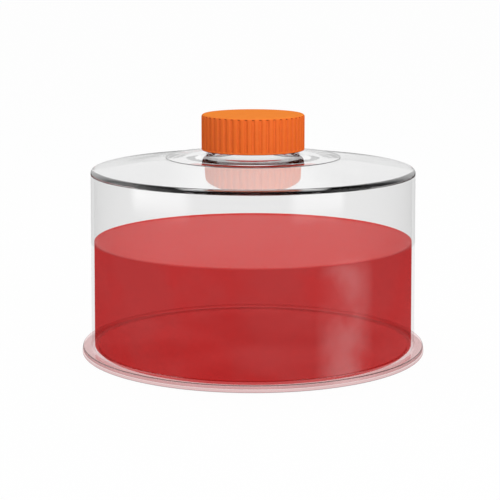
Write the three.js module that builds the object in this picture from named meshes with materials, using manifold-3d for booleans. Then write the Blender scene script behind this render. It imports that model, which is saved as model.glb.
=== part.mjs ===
// Round cell culture flask: clear welded vessel, red medium, and a fluted screw cap.
// Millimetres, +Z up. The origin is the centre of the flask's underside.

import * as THREE from 'three';
import { mergeVertices } from 'three/addons/utils/BufferGeometryUtils.js';
import Module from 'manifold-3d';

const wasm = await Module();
wasm.setup();

// ---- Driving dimensions ------------------------------------------------------------------

// Roundness of the revolved parts: straight sides to a full turn, and to a quarter-turn fillet.
const ROUND_SEGMENTS = 64;
const FILLET_SEGMENTS = 3;
const SHOULDER_SEGMENTS = 5;
const NECK_SEGMENTS = 4;
const SWELL_SEGMENTS = 3;
const CAP_SIDES_PER_FLUTE = 2;

// Base plate: a disc that stands a little proud of the flange welded onto it, with a ring that
// locates it inside the wall.
const BASE_LIP = 0.3;
const BASE_THICKNESS = 1.4;
const BASE_EDGE_ROUND = 0.4;
const LOCATING_RING_WIDTH = 1.0;
const LOCATING_RING_HEIGHT = 1.2;
const RING_WALL_CLEARANCE = 0.3;

// Flange around the foot of the body, welded on top of the base plate.
const FLANGE_OVERHANG = 3.6;
const FLANGE_THICKNESS = 1.6;
const FLANGE_EDGE_ROUND = 0.5;
const FLANGE_ROOT_FILLET = 0.6;

// Wall, which leans in by the mould's draft, and the shoulder that turns it into the roof.
const FOOT_RADIUS = 67.8;
const WALL_DRAFT = 0.8;
const WALL_TOP = 75.0;
const WALL_THICKNESS = 1.3;
const SHOULDER_ROUND = 1.8;
const INNER_SHOULDER_ROUND = 1.0;

// Conical roof, and the flat land that stands a little proud of it around the neck. Under the
// land the roof's slope turns level in a wide curve.
const LAND_RADIUS = 36.2;
const LAND_HEIGHT = 81.3;
const LAND_STEP = 0.3;
const ROOF_THICKNESS = 2.2;
const LAND_THICKNESS = 1.6;
const LAND_UNDER_ROUND = 30.0;

// Neck. The land swells a little towards it, and a fillet turns up into the collar, which is the
// plain foot of the neck below its thread. Inside, the bore opens downward into a wide throat.
const SWELL_WIDTH = 8.5;
const SWELL_ROUND = 55.0;
const NECK_FILLET = 3.0;
const NECK_ROOT_RADIUS = 17.5;
const NECK_WALL = 1.6;
const COLLAR_STEP = 0.8;
const COLLAR_HEIGHT = 4.9;
const THROAT_WIDTH = 7.0;
const THROAT_HEIGHT = 5.0;
const NECK_HEIGHT = 14.9;
const LIP_ROUND = 0.5;

// Screw thread, right-handed, one start. The neck and the cap share its lead.
const THREAD_LEAD = 4.23;
const NECK_THREAD_DEPTH = 1.25;
const NECK_THREAD_START = 6.7;
const NECK_THREAD_TURNS = 1.5;
const THREAD_ROOT_WIDTH = 2.2;
const THREAD_CREST_WIDTH = 1.1;
const THREAD_RUN_OUT_DEG = 25;
const THREAD_STEP_DEG = 6;
const THREAD_BURIED_DEPTH = 0.3;
const THREAD_END_FULLNESS = 0.05;
const SECTION_CORNERS = 4;
const CAP_THREAD_DEPTH = 1.2;
const CAP_THREAD_TURNS = 1.5;
const CAP_THREAD_FOOT_HEIGHT = 3.6;
const THREAD_RADIAL_CLEARANCE = 0.45;
const THREAD_FLANK_CLEARANCE = 0.3;

// Liner: the sealing disc between the neck's lip and the top of the cap.
const LINER_THICKNESS = 1.0;
const LINER_CAP_CLEARANCE = 0.3;
const LIP_CLEARANCE = 0.05;

// Cap.
const CAP_SKIRT_THICKNESS = 2.1;
const CAP_HEIGHT = 14.7;
const CAP_TOP_THICKNESS = 1.6;
const CAP_TOP_ROUND = 1.1;
const CAP_FOOT_ROUND = 0.3;
const CAP_MOUTH_CHAMFER = 0.5;
const FLUTE_COUNT = 45;
const FLUTE_START_DEG = -90;
const FLUTE_WIDTH = 1.7;
const FLUTE_DEPTH = 0.5;
const FLUTE_SIDES = 12;
const FLUTE_FOOT_BAND = 0.7;
const FLUTE_TOP_BAND = 0.6;

// Medium.
const FILL_LEVEL = 46.4;
const MEDIUM_CLEARANCE = 0.3;
const MENISCUS_RISE = 0.6;
const MENISCUS_WIDTH = 1.8;

// ---- Heights and radii worked out from them ----------------------------------------------

const flangeTop = BASE_THICKNESS + FLANGE_THICKNESS;
const flangeRadius = FOOT_RADIUS + FLANGE_OVERHANG;
const baseRadius = flangeRadius + BASE_LIP;
const shoulderRadius = FOOT_RADIUS - WALL_DRAFT;
const lipTop = LAND_HEIGHT + NECK_HEIGHT;
const linerBottom = lipTop + LIP_CLEARANCE;
const capCeiling = linerBottom + LINER_THICKNESS;
const capTop = capCeiling + CAP_TOP_THICKNESS;
const capFoot = capTop - CAP_HEIGHT;
const neckThreadRadius = NECK_ROOT_RADIUS + NECK_THREAD_DEPTH;
const capBoreRadius = neckThreadRadius + THREAD_RADIAL_CLEARANCE;
const capRadius = capBoreRadius + CAP_SKIRT_THICKNESS;
const boreRadius = NECK_ROOT_RADIUS - NECK_WALL;
const collarRadius = NECK_ROOT_RADIUS + COLLAR_STEP;
const neckThreadStart = LAND_HEIGHT + NECK_THREAD_START;

// ---- Profile helpers ---------------------------------------------------------------------

const degrees = (angle) => THREE.MathUtils.degToRad(angle);
const point = (radius, z) => new THREE.Vector2(radius, z);

// Points along an arc about (centreRadius, centreZ), both ends included.
function arc(centreRadius, centreZ, radius, fromDeg, toDeg, segments = FILLET_SEGMENTS) {
  return Array.from({ length: segments + 1 }, (_, i) => {
    const angle = degrees(fromDeg + ((toDeg - fromDeg) * i) / segments);
    return point(centreRadius + radius * Math.cos(angle), centreZ + radius * Math.sin(angle));
  });
}

// Points along an ellipse's arc, both ends included.
function ellipseArc(centreRadius, centreZ, halfWidth, halfHeight, fromDeg, toDeg, segments) {
  return arc(0, 0, 1, fromDeg, toDeg, segments).map((unit) =>
    point(centreRadius + halfWidth * unit.x, centreZ + halfHeight * unit.y));
}

// Outer radius of the wall at a height: a straight line from the foot to the shoulder.
function wallRadius(z) {
  const rise = (z - BASE_THICKNESS) / (WALL_TOP - BASE_THICKNESS);
  return FOOT_RADIUS - WALL_DRAFT * rise;
}

// Revolves a profile about the Z axis. The profile closes on itself or starts and ends on the
// axis, and runs counter-clockwise when the radius points right and Z points up.
function revolve(profile, segments = ROUND_SEGMENTS) {
  const geometry = new THREE.LatheGeometry(profile, segments);
  return geometry.rotateX(Math.PI / 2);
}

// Turns a closed geometry into a solid for joining and cutting.
function toSolid(geometry) {
  const bare = geometry.clone();
  bare.deleteAttribute('normal');
  bare.deleteAttribute('uv');
  const merged = mergeVertices(bare);
  const corners = Array.from(merged.index.array);
  const triVerts = [];
  for (let i = 0; i < corners.length; i += 3) {
    const [a, b, c] = corners.slice(i, i + 3);
    if (a !== b && b !== c && c !== a) triVerts.push(a, b, c);
  }
  return new wasm.Manifold(new wasm.Mesh({
    numProp: 3,
    vertProperties: new Float32Array(merged.attributes.position.array),
    triVerts: new Uint32Array(triVerts),
  }));
}

function toGeometry(solid) {
  const { vertProperties, triVerts, numProp } = solid.getMesh();
  const positions = new Float32Array((vertProperties.length / numProp) * 3);
  for (let i = 0; i < positions.length; i++) {
    positions[i] = vertProperties[Math.floor(i / 3) * numProp + (i % 3)];
  }
  const geometry = new THREE.BufferGeometry();
  geometry.setAttribute('position', new THREE.BufferAttribute(positions, 3));
  geometry.setIndex(new THREE.BufferAttribute(new Uint32Array(triVerts), 1));
  geometry.computeVertexNormals();
  return geometry;
}

// ---- Screw thread ------------------------------------------------------------------------

// A helical ridge of trapezoid section that climbs one lead a turn. It stands on a round wall
// of wallRadius and reaches to crestRadius, outward or inward, and its ends run out to nothing.
function threadRidge({ wallRadius: wall, crestRadius, startZ, startDeg, turns }) {
  const steps = Math.round((turns * 360) / THREAD_STEP_DEG);
  const outward = Math.sign(crestRadius - wall);
  const buried = wall - outward * THREAD_BURIED_DEPTH;
  const positions = [];
  for (let i = 0; i <= steps; i++) {
    const turned = (i * turns * 360) / steps;
    const fromEnd = Math.min(turned, turns * 360 - turned) / THREAD_RUN_OUT_DEG;
    const fullness = Math.max(THREAD_END_FULLNESS, Math.min(1, fromEnd));
    const crest = wall + (crestRadius - wall) * fullness;
    const z = startZ + (THREAD_LEAD * turned) / 360;
    const angle = degrees(startDeg + turned);
    const section = [
      [buried, -THREAD_ROOT_WIDTH / 2],
      [crest, -THREAD_CREST_WIDTH / 2],
      [crest, THREAD_CREST_WIDTH / 2],
      [buried, THREAD_ROOT_WIDTH / 2],
    ];
    for (const [radius, rise] of section) {
      positions.push(radius * Math.cos(angle), radius * Math.sin(angle), z + rise);
    }
  }
  const faces = [];
  const quad = (a, b, c, d) => faces.push(a, b, c, a, c, d);
  const vertex = (ring, corner) => ring * SECTION_CORNERS + (corner % SECTION_CORNERS);
  for (let i = 0; i < steps; i++) {
    for (let corner = 0; corner < SECTION_CORNERS; corner++) {
      quad(vertex(i, corner), vertex(i + 1, corner), vertex(i + 1, corner + 1),
        vertex(i, corner + 1));
    }
  }
  const [a, b, c, d] = [0, 1, 2, 3];
  quad(a, b, c, d);
  quad(vertex(steps, d), vertex(steps, c), vertex(steps, b), vertex(steps, a));
  const geometry = new THREE.BufferGeometry();
  geometry.setAttribute('position', new THREE.Float32BufferAttribute(positions, 3));
  geometry.setIndex(outward > 0 ? faces : faces.toReversed());
  return geometry;
}

// ---- Vessel body -------------------------------------------------------------------------

// Where the shoulder's arc, about its centre, runs tangent into the straight roof.
function shoulderTangentDeg(centre, landEdge) {
  const toEdge = landEdge.clone().sub(centre);
  const opening = Math.acos(SHOULDER_ROUND / toEdge.length());
  return THREE.MathUtils.radToDeg(toEdge.angle() - opening);
}

// The land's swell, and the fillet that turns it tangent into the collar.
function neckFoot() {
  const endDeg = THREE.MathUtils.radToDeg(Math.atan(SWELL_WIDTH / SWELL_ROUND));
  const filletRadius = collarRadius + NECK_FILLET;
  const swellEnd = filletRadius - NECK_FILLET * Math.sin(degrees(endDeg));
  const swell = Array.from({ length: SWELL_SEGMENTS }, (_, i) => {
    const run = (SWELL_WIDTH * i) / SWELL_SEGMENTS;
    return point(swellEnd + SWELL_WIDTH - run, LAND_HEIGHT + run ** 2 / (2 * SWELL_ROUND));
  });
  const swellTop = LAND_HEIGHT + SWELL_WIDTH ** 2 / (2 * SWELL_ROUND);
  const filletZ = swellTop + NECK_FILLET * Math.cos(degrees(endDeg));
  const fillet = arc(filletRadius, filletZ, NECK_FILLET, 270 - endDeg, 180, NECK_SEGMENTS);
  return [...swell, ...fillet];
}

function bodyProfile() {
  const shoulderCentre = point(shoulderRadius - SHOULDER_ROUND, WALL_TOP);
  const landEdge = point(LAND_RADIUS, LAND_HEIGHT - LAND_STEP);
  const tangentDeg = shoulderTangentDeg(shoulderCentre, landEdge);
  const roofSlope = Math.tan(degrees(90 - tangentDeg));
  const roofDrop = ROOF_THICKNESS / Math.sin(degrees(tangentDeg));
  const undersideAt = (radius) => landEdge.y - roofDrop - (radius - LAND_RADIUS) * roofSlope;
  const landUnderside = LAND_HEIGHT - LAND_THICKNESS;
  const undersideMeet = LAND_RADIUS + (undersideAt(LAND_RADIUS) - landUnderside) / roofSlope;
  const bendRadius = undersideMeet
    - LAND_UNDER_ROUND * Math.tan(degrees((90 - tangentDeg) / 2));
  const innerRadius = shoulderRadius - WALL_THICKNESS;
  const innerCentre = point(innerRadius - INNER_SHOULDER_ROUND,
    undersideAt(innerRadius - INNER_SHOULDER_ROUND)
      - INNER_SHOULDER_ROUND / Math.sin(degrees(tangentDeg)));
  const flangeRootRadius = wallRadius(flangeTop) + FLANGE_ROOT_FILLET;
  const collarTop = LAND_HEIGHT + COLLAR_HEIGHT;
  const profile = [
    // Underside of the flange, its outer edge and its top.
    point(wallRadius(BASE_THICKNESS) - WALL_THICKNESS, BASE_THICKNESS),
    point(flangeRadius, BASE_THICKNESS),
    ...arc(flangeRadius - FLANGE_EDGE_ROUND, flangeTop - FLANGE_EDGE_ROUND,
      FLANGE_EDGE_ROUND, 0, 90),
    ...arc(flangeRootRadius, flangeTop + FLANGE_ROOT_FILLET, FLANGE_ROOT_FILLET, 270, 180),
    // Wall, shoulder, roof and land.
    ...arc(shoulderCentre.x, shoulderCentre.y, SHOULDER_ROUND, 0, tangentDeg, SHOULDER_SEGMENTS),
    landEdge,
    point(LAND_RADIUS, LAND_HEIGHT),
    // Neck, from the swell at its foot to the lip.
    ...neckFoot(),
    point(collarRadius, collarTop),
    point(NECK_ROOT_RADIUS, collarTop + COLLAR_STEP),
    ...arc(NECK_ROOT_RADIUS - LIP_ROUND, lipTop - LIP_ROUND, LIP_ROUND, 0, 90),
    ...arc(boreRadius + LIP_ROUND, lipTop - LIP_ROUND, LIP_ROUND, 90, 180),
    // Inside: throat, underside of the roof and inner wall.
    ...ellipseArc(boreRadius + THROAT_WIDTH, landUnderside + THROAT_HEIGHT,
      THROAT_WIDTH, THROAT_HEIGHT, 180, 270, NECK_SEGMENTS),
    ...arc(bendRadius, landUnderside - LAND_UNDER_ROUND, LAND_UNDER_ROUND, 90, tangentDeg),
    ...arc(innerCentre.x, innerCentre.y, INNER_SHOULDER_ROUND, tangentDeg, 0),
  ];
  return [...profile, profile[0].clone()];
}

const neckThread = {
  wallRadius: NECK_ROOT_RADIUS,
  crestRadius: neckThreadRadius,
  startZ: neckThreadStart,
  startDeg: 0,
  turns: NECK_THREAD_TURNS,
};

const bodySolid = toSolid(revolve(bodyProfile())).add(toSolid(threadRidge(neckThread)));

// ---- Base plate --------------------------------------------------------------------------

const ringTop = BASE_THICKNESS + LOCATING_RING_HEIGHT;
const ringOuter = wallRadius(ringTop) - WALL_THICKNESS - RING_WALL_CLEARANCE;
const ringInner = ringOuter - LOCATING_RING_WIDTH;

const basePlateGeometry = revolve([
  point(0, 0),
  ...arc(baseRadius - BASE_EDGE_ROUND, BASE_EDGE_ROUND, BASE_EDGE_ROUND, 270, 360),
  point(baseRadius, BASE_THICKNESS),
  point(ringOuter, BASE_THICKNESS),
  point(ringOuter, ringTop),
  point(ringInner, ringTop),
  point(ringInner, BASE_THICKNESS),
  point(0, BASE_THICKNESS),
]);

// ---- Culture medium ----------------------------------------------------------------------

// Fills the vessel over the base plate and clears its ring and wall. Its edge climbs the wall.
function mediumProfile() {
  const overRing = ringTop + MEDIUM_CLEARANCE;
  const insideRing = ringInner - MEDIUM_CLEARANCE;
  const edgeRadius = (z) => wallRadius(z) - WALL_THICKNESS - MEDIUM_CLEARANCE;
  const meniscusTop = FILL_LEVEL + MENISCUS_RISE;
  const rim = edgeRadius(meniscusTop);
  return [
    point(0, BASE_THICKNESS),
    point(insideRing, BASE_THICKNESS),
    point(insideRing, overRing),
    point(edgeRadius(overRing), overRing),
    ...ellipseArc(rim - MENISCUS_WIDTH, meniscusTop, MENISCUS_WIDTH, MENISCUS_RISE, 0, -90),
    point(0, FILL_LEVEL),
  ];
}

// ---- Cap liner ---------------------------------------------------------------------------

const linerRadius = capBoreRadius - LINER_CAP_CLEARANCE;

const linerGeometry = new THREE.CylinderGeometry(linerRadius, linerRadius, LINER_THICKNESS,
  ROUND_SEGMENTS).rotateX(Math.PI / 2);

// ---- Screw cap ---------------------------------------------------------------------------

function capProfile() {
  return [
    point(0, capCeiling),
    point(capBoreRadius, capCeiling),
    point(capBoreRadius, capFoot + CAP_MOUTH_CHAMFER),
    point(capBoreRadius + CAP_MOUTH_CHAMFER, capFoot),
    ...arc(capRadius - CAP_FOOT_ROUND, capFoot + CAP_FOOT_ROUND, CAP_FOOT_ROUND, 270, 360, 2),
    ...arc(capRadius - CAP_TOP_ROUND, capTop - CAP_TOP_ROUND, CAP_TOP_ROUND, 0, 90),
    point(0, capTop),
  ];
}

// One upright cutter for each flute: a round bar whose edge sinks into the skirt.
function fluteCutter(index) {
  const barRadius = (FLUTE_WIDTH ** 2 / 4 + FLUTE_DEPTH ** 2) / (2 * FLUTE_DEPTH);
  const foot = capFoot + FLUTE_FOOT_BAND;
  const top = capTop - FLUTE_TOP_BAND;
  const geometry = new THREE.CylinderGeometry(barRadius, barRadius, top - foot, FLUTE_SIDES);
  geometry.rotateX(Math.PI / 2);
  geometry.translate(capRadius - FLUTE_DEPTH + barRadius, 0, (foot + top) / 2);
  return toSolid(geometry.rotateZ((index * 2 * Math.PI) / FLUTE_COUNT));
}

// The cap's thread lies on the neck's helix, lower by both half widths and the flank clearance.
const threadDrop = (THREAD_ROOT_WIDTH + THREAD_CREST_WIDTH) / 2 + THREAD_FLANK_CLEARANCE;
const capThreadStart = capFoot + CAP_THREAD_FOOT_HEIGHT;

const capThread = {
  wallRadius: capBoreRadius,
  crestRadius: capBoreRadius - CAP_THREAD_DEPTH,
  startZ: capThreadStart,
  startDeg: (360 * (capThreadStart + threadDrop - neckThreadStart)) / THREAD_LEAD,
  turns: CAP_THREAD_TURNS,
};

function buildCap() {
  const blank = toSolid(revolve(capProfile(), FLUTE_COUNT * CAP_SIDES_PER_FLUTE));
  const flutes = Array.from({ length: FLUTE_COUNT }, (_, i) => fluteCutter(i));
  const fluted = flutes.reduce((cap, flute) => cap.subtract(flute), blank);
  return fluted.rotate([0, 0, FLUTE_START_DEG]).add(toSolid(threadRidge(capThread)));
}

// ---- Assembly ----------------------------------------------------------------------------

const clearPlastic = {
  color: 0xe9eef0, roughness: 0.05, metalness: 0, transparent: true, opacity: 0.3,
};
const redMedium = {
  color: 0xb43335, roughness: 0.1, metalness: 0, transparent: true, opacity: 0.85,
};
const linerPlastic = { color: 0xf2efe8, roughness: 0.6, metalness: 0 };
const capPlastic = { color: 0xf26a21, roughness: 0.4, metalness: 0 };

function part(name, geometry, material, height = 0) {
  const mesh = new THREE.Mesh(geometry, new THREE.MeshStandardMaterial(material));
  mesh.name = name;
  mesh.position.z = height;
  return mesh;
}

const flask = new THREE.Group();
flask.add(
  part('vessel_body', toGeometry(bodySolid), clearPlastic),
  part('base_plate', basePlateGeometry, clearPlastic),
  part('culture_medium', revolve(mediumProfile()), redMedium),
);

const closure = new THREE.Group();
closure.add(
  part('cap_liner', linerGeometry, linerPlastic, linerBottom + LINER_THICKNESS / 2),
  part('screw_cap', toGeometry(buildCap()), capPlastic),
);

const group = new THREE.Group();
group.add(flask, closure);

export default group;
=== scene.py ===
import math

import bpy
import numpy as np
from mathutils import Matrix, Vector


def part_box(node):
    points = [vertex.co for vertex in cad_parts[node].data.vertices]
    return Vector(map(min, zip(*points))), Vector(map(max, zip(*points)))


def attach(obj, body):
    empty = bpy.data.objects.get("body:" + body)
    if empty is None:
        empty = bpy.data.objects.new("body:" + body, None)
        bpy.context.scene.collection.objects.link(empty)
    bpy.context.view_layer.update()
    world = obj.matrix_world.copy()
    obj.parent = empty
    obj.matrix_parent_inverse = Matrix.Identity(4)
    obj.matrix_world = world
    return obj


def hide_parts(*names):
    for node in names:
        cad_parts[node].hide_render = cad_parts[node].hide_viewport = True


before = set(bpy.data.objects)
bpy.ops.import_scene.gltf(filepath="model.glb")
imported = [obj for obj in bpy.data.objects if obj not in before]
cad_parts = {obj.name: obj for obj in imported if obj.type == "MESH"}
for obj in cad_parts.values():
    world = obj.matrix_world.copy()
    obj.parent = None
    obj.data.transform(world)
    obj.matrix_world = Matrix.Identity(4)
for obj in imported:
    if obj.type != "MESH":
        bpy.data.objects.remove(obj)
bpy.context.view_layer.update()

MM = 0.001
TURN = 2 * math.pi
TINY = 1e-7

# ---- Sizes read from the frame ---------------------------------------------------------------

plate_low, plate_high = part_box("base_plate")
body_low, body_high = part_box("vessel_body")
medium_low, medium_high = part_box("culture_medium")
liner_low, liner_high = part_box("cap_liner")
cap_low, cap_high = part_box("screw_cap")

BASE_RADIUS = plate_high.x
BASE_THICKNESS = body_low.z
RING_TOP = plate_high.z
FLANGE_RADIUS = body_high.x
LIP_TOP = body_high.z
MENISCUS_TOP = medium_high.z
CAP_RADIUS = cap_high.y
CAP_FOOT, CAP_TOP = cap_low.z, cap_high.z
CAP_CEILING = liner_high.z
LINER_RADIUS = liner_high.x

# ---- Sizes of the clear mouldings ------------------------------------------------------------

WALL_RADIUS = 67.0 * MM
WALL_TOP = 75.0 * MM
FOOT_RADIUS = 67.8 * MM
WALL_THICKNESS = 1.3 * MM
FLANGE_TOP = BASE_THICKNESS + 1.6 * MM
FLANGE_ROUND = 0.5 * MM
ROOT_FILLET = 0.6 * MM
SHOULDER_ROUND = 1.8 * MM
INNER_SHOULDER_ROUND = 1.0 * MM
LAND_RADIUS = 36.2 * MM
LAND_HEIGHT = 81.3 * MM
LAND_STEP = 0.3 * MM
LAND_THICKNESS = 1.6 * MM
LAND_UNDER_ROUND = 30.0 * MM
ROOF_THICKNESS = 2.2 * MM
BORE_RADIUS = 15.9 * MM
COLLAR_RADIUS = 18.3 * MM
COLLAR_HEIGHT = 4.9 * MM
NECK_FILLET = 3.0 * MM
RISE_WIDTH = 8.5 * MM
RISE_ROUND = 55.0 * MM
THROAT_WIDTH = 7.0 * MM
THROAT_HEIGHT = 5.0 * MM
NECK_ROOT_RADIUS = 17.5 * MM
LIP_ROUND = 0.5 * MM
PLATE_EDGE_ROUND = 0.4 * MM
RING_WIDTH = 1.0 * MM
RING_CLEARANCE = 0.3 * MM

# The base plate lies this far below the body's underside, so that the two faces don't coincide.
SEAM = 0.03 * MM

# Screw thread: one start, right-handed.
THREAD_LEAD = 4.23 * MM
THREAD_DEPTH = 1.25 * MM
THREAD_HALF_ROOT = 1.1 * MM
THREAD_HALF_CREST = 0.5 * MM
THREAD_TURNS = 1.5
NECK_THREAD_START = LAND_HEIGHT + 6.7 * MM
CAP_BORE_RADIUS = 19.2 * MM
CAP_THREAD_DEPTH = 1.2 * MM
CAP_THREAD_START = CAP_FOOT + 3.6 * MM
THREAD_DROP = 1.95 * MM
THREAD_RUN_OUT = math.radians(25)
THREAD_ROWS = 44

# Cap.
CAP_CEILING_ROOM = 0.3 * MM
CAP_MOUTH_CHAMFER = 0.5 * MM
CAP_TOP_ROUND = 1.1 * MM
CAP_FOOT_ROUND = 0.3 * MM
FLUTES = 45
COLUMNS_PER_FLUTE = 16
FLUTE_DEPTH = 0.5 * MM
FLUTE_HALF_FLOOR = 0.42 * MM
FLUTE_HALF_MOUTH = 0.85 * MM
FLUTE_FOOT_BAND = 0.7 * MM
FLUTE_TOP_BAND = 0.6 * MM
FLUTE_END = 0.25 * MM

# Medium.
FILL_LEVEL = MENISCUS_TOP - 0.6 * MM
MENISCUS_WIDTH = 1.8 * MM
MEDIUM_GAP = 0.3 * MM

ROUND_COLUMNS = 320


# ---- Mesh helpers ----------------------------------------------------------------------------

def arc(centre, radius, start, end, segments=8):
    """Points of an arc about centre, in the (radius, height) plane, angles in degrees."""
    angles = np.radians(np.linspace(start, end, segments + 1))
    return [(centre[0] + radius * math.cos(a), centre[1] + radius * math.sin(a)) for a in angles]


def line(start, end, segments):
    """Points along a straight line, both ends included."""
    return [tuple(p) for p in np.linspace(start, end, segments + 1)]


def held(profile, closed, reach=0.15 * MM):
    """The profile with a point just inside both ends of each long straight, so it shades flat."""
    points = []
    for start, end in zip(profile, profile[1:] + (profile[:1] if closed else [])):
        points.append(start)
        length = math.dist(start, end)
        if length > 10 * reach:
            step = np.subtract(end, start) * reach / length
            points += [tuple(np.add(start, step)), tuple(np.subtract(end, step))]
    return points if closed else points + [profile[-1]]


def corner_rows(profile, closed, limit=30):
    """Rows where the profile turns by more than limit degrees, which stay sharp."""
    rows = set()
    count = len(profile)
    for i in range(count):
        if not closed and i in (0, count - 1):
            continue
        before = np.subtract(profile[i], profile[i - 1])
        after = np.subtract(profile[(i + 1) % count], profile[i])
        turn = math.atan2(before[0] * after[1] - before[1] * after[0], float(np.dot(before, after)))
        if abs(math.degrees(turn)) > limit:
            rows.add(i)
    return rows


def revolve(name, profile, columns=ROUND_COLUMNS, closed=False, reshape=None):
    """A revolved mesh. reshape(angles, radius, height) may move a row's radii in or out."""
    profile = held(profile, closed)
    angles = np.arange(columns) * TURN / columns
    vertices, rows = [], []
    for radius, height in profile:
        if radius < TINY:
            rows.append([len(vertices)])
            vertices.append((0.0, 0.0, height))
            continue
        radii = np.full(columns, radius) if reshape is None else reshape(angles, radius, height)
        rows.append(list(range(len(vertices), len(vertices) + columns)))
        xs, ys = radii * np.cos(angles), radii * np.sin(angles)
        vertices.extend((x, y, height) for x, y in zip(xs, ys))
    faces = []
    pairs = list(zip(rows, rows[1:] + rows[:1] if closed else rows[1:]))
    for lower, upper in pairs:
        for i in range(columns):
            j = (i + 1) % columns
            if len(lower) == 1:
                faces.append((lower[0], upper[j], upper[i]))
            elif len(upper) == 1:
                faces.append((lower[i], lower[j], upper[0]))
            else:
                faces.append((lower[i], lower[j], upper[j], upper[i]))
    mesh = bpy.data.meshes.new(name)
    mesh.from_pydata(vertices, [], faces)
    mesh.shade_smooth()
    sharp_row = {}
    for row in corner_rows(profile, closed):
        if len(rows[row]) > 1:
            sharp_row.update((v, row) for v in rows[row])
    for edge in mesh.edges:
        a, b = edge.vertices
        if a in sharp_row and sharp_row.get(b) == sharp_row[a]:
            edge.use_edge_sharp = True
    mesh.update()
    piece = bpy.data.objects.new(name, mesh)
    bpy.context.scene.collection.objects.link(piece)
    return piece


def smoothstep(low, high, value):
    t = np.clip((value - low) / (high - low), 0, 1)
    return t * t * (3 - 2 * t)


def thread_height(angles, height, start_angle, start_height):
    """How full the thread's ridge stands at each angle of a row, from 0 to 1."""
    full = np.zeros(len(angles))
    for turn in range(-1, math.ceil(THREAD_TURNS) + 1):
        wound = (angles - start_angle) % TURN + turn * TURN
        rise = start_height + THREAD_LEAD * wound / TURN
        ridge = 1 - smoothstep(THREAD_HALF_CREST, THREAD_HALF_ROOT, np.abs(height - rise))
        to_end = np.minimum(wound, THREAD_TURNS * TURN - wound)
        full = np.maximum(full, ridge * np.clip(to_end / THREAD_RUN_OUT, 0, 1))
    return full


# ---- Profiles --------------------------------------------------------------------------------

def wall_radius(z):
    share = (z - BASE_THICKNESS) / (WALL_TOP - BASE_THICKNESS)
    return FOOT_RADIUS + (WALL_RADIUS - FOOT_RADIUS) * share


def neck_foot():
    """The land rising softly to the neck, then a small fillet."""
    slope = RISE_WIDTH / RISE_ROUND
    steep = math.degrees(math.atan(slope))
    start = COLLAR_RADIUS + NECK_FILLET * (1 - math.sin(math.radians(steep))) + RISE_WIDTH
    rise = [(start - d, LAND_HEIGHT + d * d / (2 * RISE_ROUND))
            for d in np.linspace(0, RISE_WIDTH, 14)]
    centre = (COLLAR_RADIUS + NECK_FILLET,
              rise[-1][1] + NECK_FILLET * math.cos(math.radians(steep)))
    return rise[:-1] + arc(centre, NECK_FILLET, 270 - steep, 180, 14)


def body_profile():
    shoulder = np.array((WALL_RADIUS - SHOULDER_ROUND, WALL_TOP))
    land_edge = np.array((LAND_RADIUS, LAND_HEIGHT - LAND_STEP))
    to_edge = land_edge - shoulder
    tangent = math.atan2(to_edge[1], to_edge[0])
    tangent -= math.acos(SHOULDER_ROUND / np.linalg.norm(to_edge))
    slope = math.tan(math.pi / 2 - tangent)
    tangent_deg = math.degrees(tangent)

    def underside(radius):
        return land_edge[1] - ROOF_THICKNESS / math.sin(tangent) - (radius - LAND_RADIUS) * slope

    land_under = LAND_HEIGHT - LAND_THICKNESS
    meet = LAND_RADIUS + (underside(LAND_RADIUS) - land_under) / slope
    inner = WALL_RADIUS - WALL_THICKNESS - INNER_SHOULDER_ROUND
    inner_centre = (inner, underside(inner) - INNER_SHOULDER_ROUND / math.sin(tangent))
    collar_top = LAND_HEIGHT + COLLAR_HEIGHT
    thread_foot = collar_top + COLLAR_RADIUS - NECK_ROOT_RADIUS
    root = wall_radius(FLANGE_TOP) + ROOT_FILLET
    return [
        (wall_radius(BASE_THICKNESS) - WALL_THICKNESS, BASE_THICKNESS),
        (FLANGE_RADIUS, BASE_THICKNESS),
        *arc((FLANGE_RADIUS - FLANGE_ROUND, FLANGE_TOP - FLANGE_ROUND), FLANGE_ROUND, 0, 90, 8),
        *arc((root, FLANGE_TOP + ROOT_FILLET), ROOT_FILLET, 270, 180, 8),
        *arc(shoulder, SHOULDER_ROUND, 0, tangent_deg, 14),
        tuple(land_edge),
        *arc((LAND_RADIUS - LAND_STEP, LAND_HEIGHT - LAND_STEP), LAND_STEP, 0, 90, 5),
        *neck_foot(),
        (COLLAR_RADIUS, collar_top),
        *line((NECK_ROOT_RADIUS, thread_foot), (NECK_ROOT_RADIUS, LIP_TOP - LIP_ROUND),
              THREAD_ROWS),
        *arc((NECK_ROOT_RADIUS - LIP_ROUND, LIP_TOP - LIP_ROUND), LIP_ROUND, 0, 90, 5)[1:],
        *arc((BORE_RADIUS + LIP_ROUND, LIP_TOP - LIP_ROUND), LIP_ROUND, 90, 180, 5),
        *[(BORE_RADIUS + THROAT_WIDTH * (1 + x), land_under + THROAT_HEIGHT * (1 + z))
          for x, z in arc((0, 0), 1, 180, 270, 20)],
        *arc((meet - LAND_UNDER_ROUND * math.tan((math.pi / 2 - tangent) / 2),
              land_under - LAND_UNDER_ROUND), LAND_UNDER_ROUND, 90, tangent_deg, 12),
        *arc(inner_centre, INNER_SHOULDER_ROUND, tangent_deg, 0, 10),
    ]


def neck_thread(angles, radius, height):
    """The neck's outside with its screw thread."""
    if abs(radius - NECK_ROOT_RADIUS) > TINY or height < LAND_HEIGHT:
        return np.full(len(angles), radius)
    return radius + THREAD_DEPTH * thread_height(angles, height, 0, NECK_THREAD_START)


def ring_radii():
    """The inner and outer radius of the base plate's locating ring."""
    outer = wall_radius(RING_TOP) - WALL_THICKNESS - RING_CLEARANCE
    return outer - RING_WIDTH, outer


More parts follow.
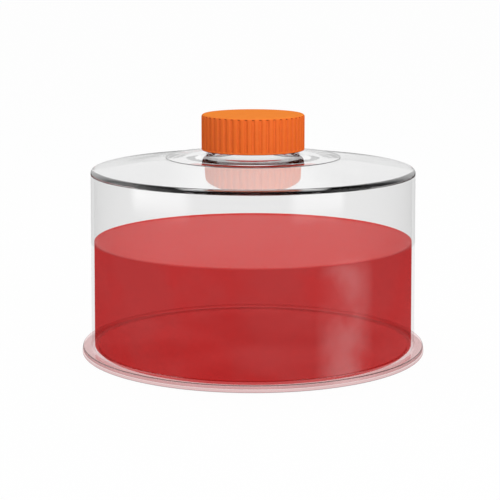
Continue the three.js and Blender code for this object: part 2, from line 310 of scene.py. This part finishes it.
def plate_profile():
    ring_inner, ring_outer = ring_radii()
    plate_top = BASE_THICKNESS - SEAM
    return [
        (0, 0),
        *arc((BASE_RADIUS - PLATE_EDGE_ROUND, PLATE_EDGE_ROUND), PLATE_EDGE_ROUND, 270, 360, 8),
        (BASE_RADIUS, plate_top),
        (ring_outer, plate_top),
        (ring_outer, RING_TOP),
        (ring_inner, RING_TOP),
        (ring_inner, plate_top),
        (0, plate_top),
    ]


def medium_profile():
    """The medium, which steps over the locating ring and rises a little at the wall."""
    ring_inner, _ = ring_radii()
    over_ring = RING_TOP + MEDIUM_GAP

    def edge(z):
        return wall_radius(z) - WALL_THICKNESS - MEDIUM_GAP

    rim = edge(MENISCUS_TOP)
    rise = MENISCUS_TOP - FILL_LEVEL
    curve = [(rim - MENISCUS_WIDTH + MENISCUS_WIDTH * x, MENISCUS_TOP + rise * z)
             for x, z in arc((0, 0), 1, 0, -90, 10)]
    return [
        (0, medium_low.z),
        (ring_inner - MEDIUM_GAP, medium_low.z),
        (ring_inner - MEDIUM_GAP, over_ring),
        (edge(over_ring), over_ring),
        *curve,
        (0, FILL_LEVEL),
    ]


def cap_profile():
    straight_foot = CAP_FOOT + FLUTE_FOOT_BAND
    round_centre = (CAP_RADIUS - CAP_TOP_ROUND, CAP_TOP - CAP_TOP_ROUND)
    return [
        (0, CAP_CEILING),
        (CAP_BORE_RADIUS, CAP_CEILING),
        *line((CAP_BORE_RADIUS, CAP_CEILING - CAP_CEILING_ROOM),
              (CAP_BORE_RADIUS, CAP_FOOT + CAP_MOUTH_CHAMFER), THREAD_ROWS),
        (CAP_BORE_RADIUS + CAP_MOUTH_CHAMFER, CAP_FOOT),
        *arc((CAP_RADIUS - CAP_FOOT_ROUND, CAP_FOOT + CAP_FOOT_ROUND), CAP_FOOT_ROUND, 270, 350, 4),
        *line((CAP_RADIUS, straight_foot - FLUTE_END), (CAP_RADIUS, straight_foot + FLUTE_END), 4),
        *line((CAP_RADIUS, straight_foot + FLUTE_END), (CAP_RADIUS, round_centre[1]), 6)[1:],
        *arc(round_centre, CAP_TOP_ROUND, 0, 90, 14)[1:],
        *line((CAP_RADIUS - CAP_TOP_ROUND, CAP_TOP), (0, CAP_TOP), 3)[1:],
    ]


def cap_shape(angles, radius, height):
    """Flutes on the skirt's outside and the thread on its inside."""
    if abs(radius - CAP_BORE_RADIUS) < TINY and height < CAP_CEILING:
        start = TURN * (CAP_THREAD_START + THREAD_DROP - NECK_THREAD_START) / THREAD_LEAD
        return radius - CAP_THREAD_DEPTH * thread_height(angles, height, start, CAP_THREAD_START)
    if radius < CAP_RADIUS - CAP_TOP_ROUND + TINY:
        return np.full(len(angles), radius)
    pitch = TURN / FLUTES
    across = np.abs((angles + TURN / 4 + pitch / 2) % pitch - pitch / 2) * CAP_RADIUS
    groove = 1 - smoothstep(FLUTE_HALF_FLOOR, FLUTE_HALF_MOUTH, across)
    foot = smoothstep(-FLUTE_END, FLUTE_END, height - CAP_FOOT - FLUTE_FOOT_BAND)
    top = 1 - smoothstep(-FLUTE_END, FLUTE_END, height - CAP_TOP + FLUTE_TOP_BAND)
    floor = CAP_RADIUS - FLUTE_DEPTH
    return radius - np.maximum(radius - floor, 0) * groove * foot * top


def liner_profile():
    return [
        (0, liner_low.z),
        (LINER_RADIUS, liner_low.z),
        (LINER_RADIUS, liner_high.z),
        (0, liner_high.z),
    ]


# ---- Colours and gloss -----------------------------------------------------------------------

WHITE = (1, 1, 1, 1)
PLASTIC_IOR = 1.5
MEDIUM_IOR = 1.33

# What one surface of the clear body lets through: dry, wetted by the medium, and in the flange,
# which picks up the medium's colour.
CLEAR = (0.962, 0.962, 0.962, 1)
WET = (0.755, 0.20, 0.20, 1)
FOOT = (0.93, 0.81, 0.81, 1)
# Painted shade: a dark line on the flange's rounded rim, where bending light shows the rim dark.
FOOT_EDGE_PAINTED_SHADE = (0.28, 0.21, 0.20, 1)
FOOT_UNDER = (0.84, 0.66, 0.66, 1)
WALL_UNDER = (0.95, 0.86, 0.86, 1)

# What the wetted face mirrors.
WET_ECHO = (0.56, 0.04, 0.04, 1)

# The share that each part of the clear body mirrors at a flat angle, or face on and at a flat
# angle. The wetted wall's share varies between its two numbers.
ROOF_GLOSS = 0.85
FLANGE_GLOSS = 0.4
WALL_GLOSS = 0.10
WALL_WET_GLOSS = (0.03, 0.115)
DRY_GLOSS = (0.04, 0.35)
INNER_GLOSS = (0.02, 0.05)
BODY_STEEPNESS = 2.2

# Where one look of the clear body gives way to the next: heights and radii, as (start, end).
INNER_FACE_END = (WALL_RADIUS - 0.2 * MM, WALL_RADIUS)
WET_TOP = (FILL_LEVEL, FILL_LEVEL + 0.5 * MM)
WET_FOOT = (RING_TOP + MEDIUM_GAP - 0.08 * MM, RING_TOP + MEDIUM_GAP - 0.04 * MM)
FLANGE_TINT_END = (FLANGE_TOP + 0.1 * MM, FLANGE_TOP + 0.9 * MM)
ROOF_GLOSS_START = (WALL_TOP - 0.2 * MM, WALL_TOP + 0.6 * MM)
BENDING_START = (WALL_TOP - 0.6 * MM, WALL_TOP - 0.5 * MM)
RIM_PAINTED_SHADE_START = (FLANGE_RADIUS - 0.7 * MM, FLANGE_RADIUS - 0.6 * MM)
UNDERSIDE_END = (BASE_THICKNESS + 0.02 * MM, BASE_THICKNESS + 0.05 * MM)
WALL_FOOT_END = (WALL_RADIUS, WALL_RADIUS + 1.5 * MM)

# How far the rounded rims of body and plate face up where a thin dark line of painted shade is laid
# on them, as band() takes it.
BODY_RIM_PAINTED_SHADE_SLOPE = (0.1, 0.4, 0.85, 0.97)
PLATE_RIM_PAINTED_SHADE_SLOPE = (-0.95, -0.85, -0.4, -0.1)

# The base plate.
PLATE = (0.86, 0.72, 0.72, 1)
PLATE_PALE = (0.90, 0.78, 0.78, 1)
PLATE_INSIDE = (0.98, 0.97, 0.97, 1)
# Painted shade: a dark grey line on the plate's rounded lower edge.
PLATE_EDGE_PAINTED_SHADE = (0.38, 0.35, 0.35, 1)
PLATE_INSIDE_START = (BASE_THICKNESS - 0.2 * MM, BASE_THICKNESS - 0.1 * MM)
PLATE_GLOSS = (0.01, 0.15)
PLATE_STEEPNESS = 3.0

# What each face of the medium lets through, each with a paler colour for its clouds.
MEDIUM_FLAT = (0.98, 0.15, 0.122, 1)
MEDIUM_FLAT_PALE = (0.99, 0.175, 0.145, 1)
MEDIUM_STEP = (0.80, 0.30, 0.30, 1)
MEDIUM_UNDER = (0.79, 0.19, 0.19, 1)
MEDIUM_UNDER_PALE = (0.84, 0.28, 0.28, 1)
MEDIUM_SIDE = (0.96, 0.86, 0.86, 1)
MEDIUM_SIDE_PALE = (0.98, 0.95, 0.95, 1)
MEDIUM_UNDER_END = (medium_low.z + 0.1 * MM, medium_low.z + 0.4 * MM)
MEDIUM_STEP_END = (0.1 * FILL_LEVEL, 0.2 * FILL_LEVEL)
MEDIUM_RING_END = (RING_TOP + 0.2 * MM, RING_TOP + 0.3 * MM)
MEDIUM_CLOUDS = (0.35, 0.7)
SURFACE_GLOSS = 0.34

# The cap and its liner.
ORANGE_SIDE = (0.90, 0.165, 0.019, 1)
# Painted light: the top gets a paler, yellower orange than the skirt, for the light it catches from
# above.
ORANGE_TOP_PAINTED_LIGHT = (0.90, 0.25, 0.030, 1)
ORANGE_MOTTLE = (0.75, 0.12, 0.02, 1)
# Painted shade: the near-black painted into the flutes and onto the cap's downward faces, how far
# the occlusion looks for closing surfaces, and how much of the near-black is laid on.
ORANGE_PAINTED_SHADE = (0.03, 0.006, 0.004, 1)
PAINTED_SHADE_REACH = 3 * MM
MOTTLE_SHARE = 0.12
PAINTED_SHADE_SHARE = 0.9
SATIN_SHARE = 0.02
GRAIN_DEPTH = 0.05 * MM
LINER = (0.78, 0.76, 0.70, 1)
LINER_PALE = (0.86, 0.85, 0.81, 1)

# The scales of the noise textures, in a metre.
HAZE_SCALE = 36.0
PLATE_CLOUD_SCALE = 30.0
MEDIUM_CLOUD_SCALE = 22.0
CAP_MOTTLE_SCALE = 260.0
CAP_GRAIN_SCALE = 2200.0
LINER_MOTTLE_SCALE = 400.0


# ---- Materials -------------------------------------------------------------------------------

class Shader:
    """A material's node tree, built by short calls."""

    def __init__(self, name, owner=None, output="ShaderNodeOutputMaterial"):
        self.owner = owner or bpy.data.materials.new(name)
        self.owner.use_nodes = True
        self.tree = self.owner.node_tree
        self.tree.nodes.clear()
        self.output = self.tree.nodes.new(output)

    def node(self, kind, **settings):
        """A node. Keywords with a capital are sockets, given a value or a link."""
        node = self.tree.nodes.new(kind)
        for key, value in settings.items():
            if key[0].isupper():
                self.set(node.inputs[key.replace("_", " ")], value)
            else:
                setattr(node, key, value)
        return node

    def set(self, socket, value):
        if isinstance(value, bpy.types.NodeSocket):
            self.tree.links.new(value, socket)
        else:
            socket.default_value = value

    def math(self, operation, first, second=0.0):
        node = self.node("ShaderNodeMath", operation=operation)
        self.set(node.inputs[0], first)
        self.set(node.inputs[1], second)
        return node.outputs[0]

    def product(self, first, *others):
        for other in others:
            first = self.math("MULTIPLY", first, other)
        return first

    def largest(self, first, *others):
        for other in others:
            first = self.math("MAXIMUM", first, other)
        return first

    def inverse(self, share):
        return self.math("SUBTRACT", 1.0, share)

    def blend(self, share, first, second):
        """A number between two numbers."""
        node = self.node("ShaderNodeMix", data_type="FLOAT")
        self.set(node.inputs["Factor"], share)
        self.set(node.inputs["A"], first)
        self.set(node.inputs["B"], second)
        return node.outputs[0]

    def tint(self, share, first, second):
        """A colour between two colours."""
        node = self.node("ShaderNodeMix", data_type="RGBA")
        self.set(node.inputs[0], share)
        self.set(node.inputs[6], first)
        self.set(node.inputs[7], second)
        return node.outputs[2]

    def step(self, value, start, end, low=0.0, high=1.0):
        """low up to start, high from end on, and smooth in between."""
        node = self.node("ShaderNodeMapRange", interpolation_type="SMOOTHSTEP")
        for socket, given in zip(node.inputs, (value, start, end, low, high)):
            self.set(socket, given)
        return node.outputs[0]

    def below(self, value, start, end):
        """1 up to start, 0 from end on, and smooth in between."""
        return self.step(value, start, end, 1.0, 0.0)

    def band(self, value, rise_start, rise_end, fall_start, fall_end):
        """1 from the end of the rise to the start of the fall, and 0 outside both."""
        rise = self.step(value, rise_start, rise_end)
        return self.product(rise, self.below(value, fall_start, fall_end))

    def noise(self, coordinates, scale, detail, roughness=0.5):
        node = self.node("ShaderNodeTexNoise", Vector=coordinates, Scale=scale, Detail=detail,
                         Roughness=roughness)
        return node.outputs[0]

    def place(self):
        """The point in the piece's own frame, its height and its distance to the axis."""
        coordinates = self.node("ShaderNodeTexCoord").outputs["Object"]
        parts = self.node("ShaderNodeSeparateXYZ", Vector=coordinates).outputs
        flat = self.node("ShaderNodeCombineXYZ", X=parts[0], Y=parts[1]).outputs[0]
        away = self.node("ShaderNodeVectorMath", operation="LENGTH")
        self.set(away.inputs[0], flat)
        return coordinates, parts[2], away.outputs["Value"]

    def upward(self):
        """How far the surface faces up, from -1 to 1."""
        normal = self.node("ShaderNodeNewGeometry").outputs["Normal"]
        return self.node("ShaderNodeSeparateXYZ", Vector=normal).outputs[2]

    def behind(self):
        """1 where light meets the surface from inside the piece, else 0."""
        return self.node("ShaderNodeNewGeometry").outputs["Backfacing"]

    def flatness(self, steepness):
        """0 face on and 1 at a flat angle, staying low for longer the higher the steepness."""
        facing = self.node("ShaderNodeLayerWeight", Blend=0.5).outputs["Facing"]
        return self.math("POWER", facing, steepness)

    def filter(self, colour):
        """Lets light straight through and tints it."""
        return self.node("ShaderNodeBsdfTransparent", Color=colour)

    def mirror(self, colour=WHITE, roughness=0.0):
        return self.node("ShaderNodeBsdfGlossy", Color=colour, Roughness=roughness)

    def mix(self, share, first, second):
        node = self.node("ShaderNodeMixShader")
        self.set(node.inputs[0], share)
        self.tree.links.new(first.outputs[0], node.inputs[1])
        self.tree.links.new(second.outputs[0], node.inputs[2])
        return node

    def finish(self, shader):
        self.tree.links.new(shader.outputs[0], self.output.inputs["Surface"])
        return self.owner


def mirror_share(shader, face_on, edge_on):
    """How much the clear body mirrors: by angle from outside, by total reflection from within."""
    outside = shader.blend(shader.flatness(BODY_STEEPNESS), face_on, edge_on)
    fresnel = shader.node("ShaderNodeFresnel", IOR=PLASTIC_IOR).outputs[0]
    return shader.blend(shader.behind(), outside, shader.step(fresnel, 0.05, 1.0))


def clear_plastic():
    """Clear polystyrene. The roof bends light and mirrors the most; the wall only filters it."""
    shader = Shader("clear_polystyrene")
    coordinates, height, radius = shader.place()
    upward = shader.upward()
    within = shader.below(radius, *INNER_FACE_END)
    low = shader.below(height, *WET_TOP)
    wet = shader.product(within, low, shader.step(height, *WET_FOOT))
    foot = shader.product(shader.below(height, *FLANGE_TINT_END), shader.inverse(within))
    thin = shader.below(height, *BENDING_START)

    haze = shader.noise(coordinates, HAZE_SCALE, 3.0)
    wet_gloss = shader.step(haze, 0.36, 0.64, *WALL_WET_GLOSS)
    face_on = shader.blend(within, shader.blend(low, DRY_GLOSS[0], wet_gloss), INNER_GLOSS[0])
    edge_on = shader.blend(within, shader.blend(low, DRY_GLOSS[1], WALL_GLOSS), INNER_GLOSS[1])
    edge_on = shader.blend(foot, edge_on, FLANGE_GLOSS)
    edge_on = shader.blend(shader.step(height, *ROOF_GLOSS_START), edge_on, ROOF_GLOSS)
    share = mirror_share(shader, face_on, edge_on)
    unseen = shader.product(thin, shader.behind())
    share = shader.product(share, shader.inverse(unseen))

    colour = shader.tint(wet, CLEAR, WET)
    # Painted shade: the flange's rounded rim is darkened to a thin dark line.
    rim = shader.product(shader.band(upward, *BODY_RIM_PAINTED_SHADE_SLOPE), shader.step(radius, *RIM_PAINTED_SHADE_START))
    colour = shader.tint(foot, colour, shader.tint(rim, FOOT, FOOT_EDGE_PAINTED_SHADE))
    under = shader.tint(shader.below(radius, *WALL_FOOT_END), FOOT_UNDER, WALL_UNDER)
    colour = shader.tint(shader.below(height, *UNDERSIDE_END), colour, under)
    bent = shader.node("ShaderNodeBsdfRefraction", Color=colour, Roughness=0.0, IOR=PLASTIC_IOR)
    through = shader.mix(thin, bent, shader.filter(colour))
    gloss = shader.mirror(shader.tint(wet, WHITE, WET_ECHO))
    return shader.finish(shader.mix(share, through, gloss))


def base_plastic():
    """The base plate, which passes on the medium's colour to its edge."""
    shader = Shader("base_polystyrene")
    coordinates, height, _ = shader.place()
    colour = shader.tint(shader.noise(coordinates, PLATE_CLOUD_SCALE, 2.0), PLATE, PLATE_PALE)
    inside = shader.step(height, *PLATE_INSIDE_START)
    colour = shader.tint(inside, colour, PLATE_INSIDE)
    # Painted shade: the plate's rounded lower edge, facing down, is darkened to a thin grey line.
    rim = shader.band(shader.upward(), *PLATE_RIM_PAINTED_SHADE_SLOPE)
    colour = shader.tint(rim, colour, PLATE_EDGE_PAINTED_SHADE)
    share = shader.blend(shader.flatness(PLATE_STEEPNESS), *PLATE_GLOSS)
    share = shader.product(share, shader.inverse(inside))
    return shader.finish(shader.mix(share, shader.filter(colour), shader.mirror()))


def red_medium():
    """Filters light, most of it at top, wall and bottom, and mirrors the room at its surface."""
    shader = Shader("red_medium")
    coordinates, height, _ = shader.place()
    upward, behind = shader.upward(), shader.behind()
    clouds = shader.noise(coordinates, MEDIUM_CLOUD_SCALE, 2.0, 0.45)
    clouds = shader.step(clouds, *MEDIUM_CLOUDS)

    flat = shader.tint(clouds, MEDIUM_FLAT, MEDIUM_FLAT_PALE)
    flat = shader.tint(shader.below(height, *MEDIUM_STEP_END), flat, MEDIUM_STEP)
    under = shader.tint(clouds, MEDIUM_UNDER, MEDIUM_UNDER_PALE)
    flat = shader.tint(shader.below(height, *MEDIUM_UNDER_END), flat, under)
    side = shader.tint(clouds, MEDIUM_SIDE, MEDIUM_SIDE_PALE)
    into_ring = shader.product(shader.below(height, *MEDIUM_RING_END), behind)
    side = shader.tint(into_ring, side, under)
    level = shader.step(shader.math("ABSOLUTE", upward), 0.4, 0.8)

    top = shader.product(shader.step(upward, 0.5, 0.9), shader.inverse(behind))
    fresnel = shader.node("ShaderNodeFresnel", IOR=MEDIUM_IOR).outputs[0]
    share = shader.product(fresnel, SURFACE_GLOSS, top)
    through = shader.filter(shader.tint(level, side, flat))
    return shader.finish(shader.mix(share, through, shader.mirror(roughness=0.03)))


def orange_plastic():
    """Moulded polypropylene: satin, with painted shade darkening the flutes and every downward
    face, a top painted paler as painted light, and a faint moulding texture.
    """
    shader = Shader("orange_polypropylene")
    coordinates, _, _ = shader.place()
    upward = shader.upward()
    # Painted light: faces that point up are painted the paler top orange.
    colour = shader.tint(shader.step(upward, 0.4, 0.95), ORANGE_SIDE, ORANGE_TOP_PAINTED_LIGHT)
    mottle = shader.noise(coordinates, CAP_MOTTLE_SCALE, 3.0)
    mottle = shader.step(mottle, 0.3, 0.7, 0.0, MOTTLE_SHARE)
    colour = shader.tint(mottle, colour, ORANGE_MOTTLE)
    # Painted shade: where the Ambient Occlusion node finds the surface closed in, and on every face
    # that points down, the colour is darkened towards near-black.
    unshaded = shader.node("ShaderNodeAmbientOcclusion", Distance=PAINTED_SHADE_REACH, samples=8)
    unshaded = shader.product(unshaded.outputs["AO"], shader.step(upward, -0.8, -0.2))
    painted_shade = shader.step(unshaded, 0.05, 0.95, PAINTED_SHADE_SHARE, 0.0)
    colour = shader.tint(painted_shade, colour, ORANGE_PAINTED_SHADE)
    grain = shader.noise(coordinates, CAP_GRAIN_SCALE, 2.0)
    bump = shader.node("ShaderNodeBump", Strength=0.12, Distance=GRAIN_DEPTH, Height=grain)
    bump = bump.outputs[0]
    surface = shader.node("ShaderNodeBsdfPrincipled", Base_Color=colour, Roughness=0.6, Normal=bump)
    surface.inputs["Specular IOR Level"].default_value = 0.0
    satin = shader.node("ShaderNodeBsdfGlossy", Color=WHITE, Roughness=0.4, Normal=bump)
    return shader.finish(shader.mix(SATIN_SHARE, surface, satin))


def white_liner():
    shader = Shader("white_liner")
    coordinates, _, _ = shader.place()
    colour = shader.tint(shader.noise(coordinates, LINER_MOTTLE_SCALE, 2.0), LINER, LINER_PALE)
    surface = shader.node("ShaderNodeBsdfPrincipled", Base_Color=colour, Roughness=0.6)
    return shader.finish(surface)


# ---- Pieces ----------------------------------------------------------------------------------

def dress(piece, body, node, material):
    piece.data.materials.append(material)
    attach(piece, body)
    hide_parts(node)


dress(revolve("vessel_shell", body_profile(), closed=True, reshape=neck_thread),
      "flask", "vessel_body", clear_plastic())
dress(revolve("base_disc", plate_profile()),
      "flask", "base_plate", base_plastic())
dress(revolve("medium_fill", medium_profile()),
      "flask", "culture_medium", red_medium())
dress(revolve("liner_disc", liner_profile()),
      "liner", "cap_liner", white_liner())
dress(revolve("fluted_cap", cap_profile(), FLUTES * COLUMNS_PER_FLUTE, reshape=cap_shape),
      "cap", "screw_cap", orange_plastic())


# ---- Stage, light and camera -----------------------------------------------------------------

FLOOR_HALF = 30.0
FLOOR_DROP = 0.2 * MM
FLOOR_PAINT = (0.85, 0.85, 0.85, 1)
FLOOR_WHITE = 0.975
ROOM_LIGHT = 0.5

# The room as a mirroring surface shows it. The pairs and the boxes' four numbers are the start
# and end of soft edges, in a unit vector's side (x), depth (y) or height (z).
RIGHT_HALF = (-0.05, 0.05)
LEFT_TALL_BOX = (-0.78, -0.62, -0.07, 0.13)
RIGHT_TALL_BOX = (-0.93, -0.84, -0.48, -0.37)
LEFT_BOX = (-0.80, -0.42, 0.30, 0.70)
RIGHT_BOX = (-0.80, -0.42, -0.35, 0.15)
SHORT_BOX_TOP = (-0.182, -0.165)
TALL_BOX_FOOT = (-0.150, -0.130)
TALL_BOX_TOP = (-0.12, -0.08)
PANEL_SIDE = (0.3, 0.8)
PANEL_MIDDLE = (0.055, 0.105)
PANEL_LOW = (0.125, 0.150)
HORIZON = (-0.12, 0.0)
CEILING = (0.60, 0.80)

# How bright each part of that room is.
BOX_LEVEL = 2.6
PANEL_FAR_END = 0.2
PANEL_END = 0.82
PANEL_FOOT = 0.88
BELOW_HORIZON = 0.12
CEILING_LEVEL = 0.22

CAMERA_LENS = 111.3
CAMERA_SENSOR = 36
CAMERA_PLACE = (-0.00125, -0.636, 0.160)
CAMERA_TILT = math.radians(90 - 10.53)

LIGHT_BOUNCES = 14
CLEAR_BOUNCES = 16


def add_floor():
    """A white floor that keeps the object's shadow."""
    mesh = bpy.data.meshes.new("floor")
    corners = [(-1, -1), (1, -1), (1, 1), (-1, 1)]
    mesh.from_pydata([(x * FLOOR_HALF, y * FLOOR_HALF, 0) for x, y in corners], [], [(0, 1, 2, 3)])
    floor = bpy.data.objects.new("floor", mesh)
    bpy.context.scene.collection.objects.link(floor)
    floor.location.z = -FLOOR_DROP
    shader = Shader("floor")
    path = shader.node("ShaderNodeLightPath").outputs
    seen = shader.largest(path["Is Camera Ray"], path["Is Transmission Ray"],
                          path["Is Glossy Ray"])
    paint = shader.node("ShaderNodeBsdfDiffuse", Color=FLOOR_PAINT)
    glow = shader.node("ShaderNodeEmission", Color=WHITE, Strength=1.0)
    white = shader.product(seen, FLOOR_WHITE)
    mesh.materials.append(shader.finish(shader.mix(white, paint, glow)))
    floor.visible_glossy = False


def room_brightness(shader):
    """How bright the room looks in a mirroring surface: boxes beside, a wide panel behind."""
    direction = shader.node("ShaderNodeTexCoord").outputs["Generated"]
    side, depth, height = shader.node("ShaderNodeSeparateXYZ", Vector=direction).outputs
    right = shader.step(side, *RIGHT_HALF)
    left_tall, right_tall = shader.band(depth, *LEFT_TALL_BOX), shader.band(depth, *RIGHT_TALL_BOX)
    left_box, right_box = shader.band(depth, *LEFT_BOX), shader.band(depth, *RIGHT_BOX)

    short = shader.product(right_box, right, shader.below(height, *SHORT_BOX_TOP))
    tall = shader.product(shader.blend(right, left_tall, right_tall), BOX_LEVEL)
    boxes = shader.blend(shader.step(height, *TALL_BOX_FOOT), short, tall)
    sides = shader.blend(right, left_box, right_box)
    boxes = shader.blend(shader.step(height, *TALL_BOX_TOP), boxes, sides)

    panel = shader.product(
        shader.step(depth, *PANEL_SIDE, PANEL_FAR_END, 1.0),
        shader.step(height, *HORIZON, BELOW_HORIZON, 1.0),
        shader.step(shader.math("ABSOLUTE", side), *PANEL_MIDDLE, 1.0, PANEL_END),
        shader.step(height, *PANEL_LOW, PANEL_FOOT, 1.0))
    bright = shader.largest(BELOW_HORIZON, boxes, panel)
    return shader.product(bright, shader.step(height, *CEILING, 1.0, CEILING_LEVEL))


def add_world():
    world = bpy.data.worlds.new("studio")
    bpy.context.scene.world = world
    shader = Shader("studio", world, "ShaderNodeOutputWorld")
    path = shader.node("ShaderNodeLightPath").outputs
    seen = shader.largest(path["Is Camera Ray"], path["Is Transmission Ray"])
    mirrored = shader.product(path["Is Glossy Ray"], room_brightness(shader))
    either = shader.largest(path["Is Glossy Ray"], seen)
    level = shader.blend(either, ROOM_LIGHT, shader.largest(seen, mirrored))
    shader.finish(shader.node("ShaderNodeBackground", Color=WHITE, Strength=level))


def add_area(name, location, target, width, height, power):
    """A rectangular lamp that is itself unseen and unmirrored."""
    lamp = bpy.data.lights.new(name, "AREA")
    lamp.shape = "RECTANGLE"
    lamp.size, lamp.size_y = width, height
    lamp.energy = power
    holder = bpy.data.objects.new(name, lamp)
    bpy.context.scene.collection.objects.link(holder)
    holder.location = location
    toward = Vector(target) - Vector(location)
    holder.rotation_euler = toward.to_track_quat("-Z", "Y").to_euler()
    holder.visible_camera = False
    holder.visible_transmission = False
    holder.visible_glossy = False


def add_camera():
    camera = bpy.data.cameras.new("camera")
    camera.lens = CAMERA_LENS
    camera.sensor_width = CAMERA_SENSOR
    holder = bpy.data.objects.new("camera", camera)
    bpy.context.scene.collection.objects.link(holder)
    holder.location = CAMERA_PLACE
    holder.rotation_euler = (CAMERA_TILT, 0, 0)
    bpy.context.scene.camera = holder


add_floor()
add_world()
add_area("top_softbox", location=(0.0, 0.15, 0.95), target=(0, 0, 0.08),
         width=1.0, height=0.9, power=3.9)
add_area("front_softbox", location=(0.27, -0.75, 0.30), target=(0, 0, 0.06),
         width=0.8, height=0.6, power=3.5)
add_camera()

scene = bpy.context.scene
scene.view_settings.view_transform = "Standard"
scene.cycles.max_bounces = LIGHT_BOUNCES
scene.cycles.transmission_bounces = LIGHT_BOUNCES
scene.cycles.glossy_bounces = LIGHT_BOUNCES
scene.cycles.transparent_max_bounces = CLEAR_BOUNCES
